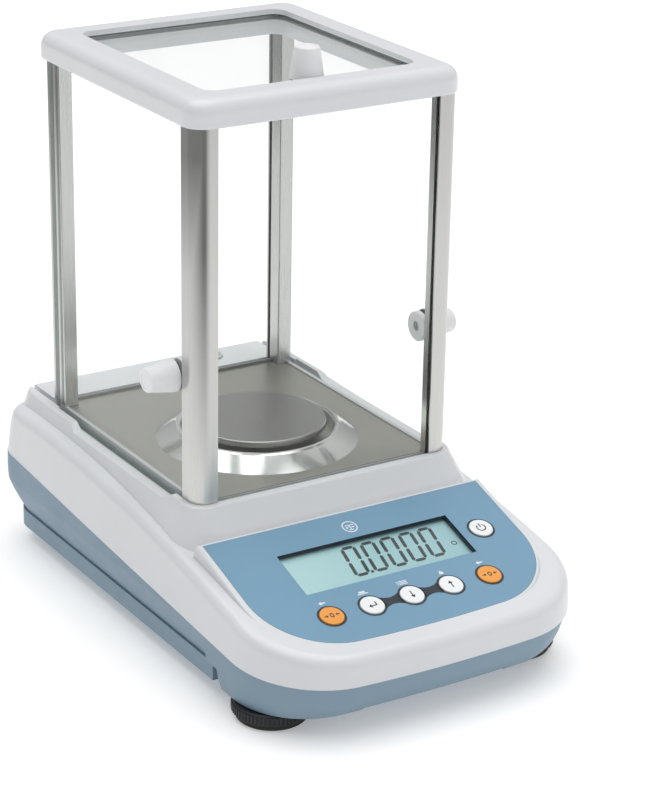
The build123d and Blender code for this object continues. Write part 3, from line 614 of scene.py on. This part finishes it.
def foil_signs(material):
    """Small pale pictograms above the keys, and a plain balance sign above the display."""
    surface = face_plane("keypad_overlay", DECK_NORMAL)
    above_key = 10.7 * MM
    bm = bmesh.new()

    def spot(node):
        offset = key_plane(node).origin - surface.origin
        return surface.moved(offset.dot(surface.right), offset.dot(surface.up) + above_key)

    for node in ("zero_left_button", "zero_right_button"):
        add_polygon(bm, spot(node), arrow(180, 4.2 * MM, 1.9 * MM, 0.9 * MM), 0.0, INK)
    sheet_sign = spot("enter_button")
    add_polygon(bm, sheet_sign, bar(-3.2 * MM, -1.1 * MM, 3.2 * MM, -0.4 * MM), 0.0, INK)
    add_polygon(bm, sheet_sign, bar(-1.9 * MM, -0.1 * MM, 1.9 * MM, 1.3 * MM), 0.0, INK)
    list_sign = spot("down_button")
    for row in (-1.1, 0.0, 1.1):
        under = (row - 0.28) * MM
        over = (row + 0.28) * MM
        add_polygon(bm, list_sign, bar(-2.0 * MM, under, 3.2 * MM, over), 0.0, INK)
        add_polygon(bm, list_sign, bar(-3.2 * MM, under, -2.5 * MM, over), 0.0, INK)
    weight_sign = spot("up_button")
    body = [(-1.5 * MM, -1.3 * MM), (1.5 * MM, -1.3 * MM), (1.1 * MM, 0.5 * MM), (-1.1 * MM, 0.5 * MM)]
    add_polygon(bm, weight_sign, body, 0.0, INK)
    add_polygon(bm, weight_sign, bar(-0.5 * MM, 0.7 * MM, 0.5 * MM, 1.4 * MM), 0.0, INK)

    window = face_plane("lcd_window", DECK_NORMAL)
    offset = window.origin - surface.origin
    top_v = offset.dot(surface.up) + window.half_v
    sign = surface.moved(-3.0 * MM, top_v + 8.6 * MM)
    add_ring(bm, sign, 4.6 * MM, 3.9 * MM, 64)
    add_polygon(bm, sign, bar(-2.6 * MM, 0.9 * MM, 2.6 * MM, 1.5 * MM), 0.0, INK)
    add_polygon(bm, sign, bar(-0.3 * MM, -2.2 * MM, 0.3 * MM, 0.8 * MM), 0.0, INK)
    add_polygon(bm, sign, bar(-1.6 * MM, -2.8 * MM, 1.6 * MM, -2.3 * MM), 0.0, INK)
    for side in (-1, 1):
        pan = arc(1.0 * MM, 180, 360, 16, (side * 1.9 * MM, -0.1 * MM))
        add_polygon(bm, sign, pan, 0.0, INK)
    finish_mesh("foil_signs", bm, material, "root")


# ---------------------------------------------------------------- bubble level

def level_bubble(material, ring_material):
    """Air bubble and centring ring inside the level."""
    low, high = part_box("level_vial")
    centre = (low + high) / 2
    radius = (high.x - low.x) / 2
    bm = bmesh.new()
    bmesh.ops.create_uvsphere(bm, u_segments=32, v_segments=16, radius=1.0)
    bubble_half = Vector((1.7, 1.7, 0.7)) * MM
    bubble = Vector((centre.x + 0.5 * MM, centre.y, high.z - 0.95 * MM))
    for vert in bm.verts:
        vert.co = bubble + vert.co * bubble_half
    finish_mesh("level_air", bm, material, "root", smooth=True)
    bm = bmesh.new()
    top = Plane((centre.x, centre.y, high.z), (1, 0, 0), (0, 0, 1))
    add_ring(bm, top, radius * 0.42, radius * 0.36, 48)
    finish_mesh("level_ring", bm, ring_material, "root")


# ---------------------------------------------------------------- stage, light and camera

FLOOR_GLOW = 0.28
SKY_STRENGTH = 0.76
SKY_HORIZON = (0.42, 0.43, 0.45, 1)
SKY_ABOVE = (0.96, 0.96, 0.96, 1)
SKY_ABOVE_FROM = 0.55
LEFT_SKY_SHARE = 0.35
KEY_SPREAD = 65.0
KEY_STRENGTH = 1.75


def stage_floor():
    """Wide pale floor with a faint glow of its own, which keeps the shadow soft."""
    mesh = bpy.data.meshes.new("floor")
    reach = 30.0
    mesh.from_pydata([(-reach, -reach, 0), (reach, -reach, 0), (reach, reach, 0), (-reach, reach, 0)], [],
                     [(0, 1, 2, 3)])
    floor = bpy.data.objects.new("floor", mesh)
    bpy.context.scene.collection.objects.link(floor)
    shader = Shader("pale_floor")
    cloud = shader.noise(shader.place(), 1.5, 2.0)
    shader.colour(shader.two_tone(cloud, (0.79, 0.79, 0.79, 1), (0.81, 0.81, 0.81, 1)))
    shader.set(roughness=0.9, specular_ior_level=0.1)
    shader.set(emission_color=(1, 1, 1, 1), emission_strength=FLOOR_GLOW)
    mesh.materials.append(shader.material)


def soft_sun(name, toward, spread, strength):
    """A very soft light from one direction, the same over the whole floor."""
    data = bpy.data.lights.new(name, "SUN")
    data.angle = math.radians(spread)
    data.energy = strength
    light = bpy.data.objects.new(name, data)
    bpy.context.scene.collection.objects.link(light)
    light.rotation_mode = "QUATERNION"
    light.rotation_quaternion = Vector(toward).to_track_quat("Z", "Y")


def studio():
    """Soft light from above, and a sky that is darker near the horizon and on the left."""
    world = bpy.data.worlds.new("studio")
    bpy.context.scene.world = world
    world.use_nodes = True
    nodes = world.node_tree.nodes
    links = world.node_tree.links
    coords = nodes.new("ShaderNodeTexCoord")
    split = nodes.new("ShaderNodeSeparateXYZ")
    ramp = nodes.new("ShaderNodeValToRGB")
    links.new(coords.outputs["Generated"], split.inputs[0])
    links.new(split.outputs["Z"], ramp.inputs["Fac"])
    elements = ramp.color_ramp.elements
    elements[0].position = 0.0
    elements[0].color = SKY_HORIZON
    elements[1].position = SKY_ABOVE_FROM
    elements[1].color = SKY_ABOVE
    side = nodes.new("ShaderNodeMapRange")
    side.inputs["From Min"].default_value = -1.0
    side.inputs["From Max"].default_value = 0.1
    side.inputs["To Min"].default_value = LEFT_SKY_SHARE
    side.inputs["To Max"].default_value = 1.0
    links.new(split.outputs["X"], side.inputs["Value"])
    shade = nodes.new("ShaderNodeVectorMath")
    shade.operation = "SCALE"
    links.new(ramp.outputs["Color"], shade.inputs[0])
    links.new(side.outputs["Result"], shade.inputs["Scale"])
    background = nodes["Background"]
    background.inputs["Strength"].default_value = SKY_STRENGTH
    links.new(shade.outputs[0], background.inputs["Color"])
    soft_sun("key_light", (-0.05, 0.12, 1.0), KEY_SPREAD, KEY_STRENGTH)


def studio_camera():
    """Long lens from the front left, above the keypad."""
    azimuth = math.radians(-32.48)
    elevation = math.radians(21.53)
    roll = math.radians(1.12)
    distance = 1.4955
    target = Vector((0.0524, 0.0325, 0.104))
    data = bpy.data.cameras.new("camera")
    data.sensor_width = 36.0
    data.lens = 114.88
    data.clip_start = 0.05
    data.clip_end = 60.0
    camera = bpy.data.objects.new("camera", data)
    bpy.context.scene.collection.objects.link(camera)
    back = Vector((math.sin(azimuth) * math.cos(elevation), -math.cos(azimuth) * math.cos(elevation),
                   math.sin(elevation)))
    camera.location = target + back * distance
    camera.rotation_mode = "QUATERNION"
    camera.rotation_quaternion = (-back).to_track_quat("-Z", "Y") @ Quaternion((0, 0, 1), roll)
    bpy.context.scene.camera = camera
    bpy.context.scene.view_settings.view_transform = "Standard"


# ---------------------------------------------------------------- assembly

def carried_over_materials():
    """A detailed material on every CAD node."""
    pan_low, pan_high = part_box("weighing_pan")
    pan = (pan_low + pan_high) / 2
    post_low, post_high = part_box("front_left_post")
    lcd_low, lcd_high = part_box("lcd_module")
    white = srgb(218, 220, 223)
    by_slot = {
        "white_plastic": moulded("white_plastic", white, 0.32, 2500.0, 0.06, coat=0.25),
        "blue_grey_plastic": moulded("blue_grey_plastic", srgb(125, 149, 166), 0.45, 1800.0, 0.25),
        "grey_plastic": moulded("grey_plastic", srgb(196, 198, 200), 0.4, 2500.0, 0.1),
        "knob_plastic": moulded("knob_plastic", srgb(234, 235, 237), 0.34, 2500.0, 0.06),
        "black_plastic": moulded("black_plastic", srgb(26, 26, 28), 0.4, 2200.0, 0.2, vary=0.2),
        "black_rubber": rubber("black_rubber"),
        "clear_window": clear_pane("clear_window", DECK_NORMAL, srgb(150, 170, 170)),
        "satin_aluminium": aluminium_post("satin_aluminium", srgb(185, 185, 182), post_high.z, post_low.z),
        "brushed_plate": brushed("brushed_plate", srgb(170, 169, 161), 0.36, (30, 2600, 400),
                                 contrast=0.08),
        "brushed_pan": brushed("brushed_pan", srgb(156, 155, 151), 0.34, (3400, 120, 400),
                               contrast=0.06, relief=0.12),
        "polished_steel": turned("polished_steel", srgb(214, 214, 212), 0.13, (pan.x, pan.y)),
        "steel_fastener": turned("steel_fastener", srgb(176, 176, 174), 0.3, (0, 0), 1500.0),
        "cell_aluminium": brushed("cell_aluminium", srgb(186, 188, 190), 0.36, (1500, 60, 1500)),
        "magnet_iron": brushed("magnet_iron", srgb(120, 122, 126), 0.35, (900, 900, 60)),
        "copper_wire": brushed("copper_wire", srgb(190, 110, 60), 0.32, (30, 30, 5200), relief=0.8),
        "brass_insert": brushed("brass_insert", srgb(190, 160, 90), 0.3, (40, 40, 3000)),
        "circuit_board": board("circuit_board"),
        "lcd_face": display_face("lcd_face", lcd_low.x, lcd_high.x),
        # The second colour of the foil is painted shade on its edges.
        "blue_overlay": foil("blue_overlay", srgb(112, 154, 181), srgb(44, 58, 68), DECK_NORMAL),
        "orange_key": moulded("orange_key", srgb(240, 158, 66), 0.38, 2400.0, 0.08),
        "white_key": moulded("white_key", srgb(238, 240, 241), 0.36, 2400.0, 0.08),
    }
    edge = srgb(96, 112, 108)
    special = {
        "front_glass": clear_pane("glass_front_rear", (0, 1, 0), edge),
        "left_door_glass": clear_pane("glass_sides", (1, 0, 0), edge),
        "top_door_glass": clear_pane("glass_top", (0, 0, 1), edge),
        "level_vial": liquid("level_liquid"),
        "glass_seals": moulded("seal_strip", srgb(112, 114, 112), 0.5, 1800.0, 0.2),
    }
    special["rear_glass"] = special["front_glass"]
    special["right_door_glass"] = special["left_door_glass"]
    for part in frame["record"]["subparts"]:
        node = part["node"]
        data = frame["nodes"][node].data
        data.materials.clear()
        data.materials.append(special.get(node) or by_slot[part["material_slot"]])
    return by_slot


by_slot = carried_over_materials()
# Dark print on the keys and foil, also used as painted shade lining the display opening.
dark_ink_and_shade = moulded("dark_ink_and_shade", srgb(28, 40, 48), 0.5, 2400.0, 0.05, vary=0.08)
pale_ink = moulded("pale_ink", srgb(226, 234, 238), 0.5, 2400.0, 0.05)
figure_ink = moulded("figure_ink", srgb(52, 60, 66), 0.45, 2400.0, 0.05, vary=0.08)

display_digits(figure_ink)
painted_shade_lining(dark_ink_and_shade)
key_surrounds(dark_ink_and_shade)
key_signs(dark_ink_and_shade)
foil_signs(pale_ink)
level_bubble(by_slot["white_key"], dark_ink_and_shade)

stage_floor()
studio()
studio_camera()
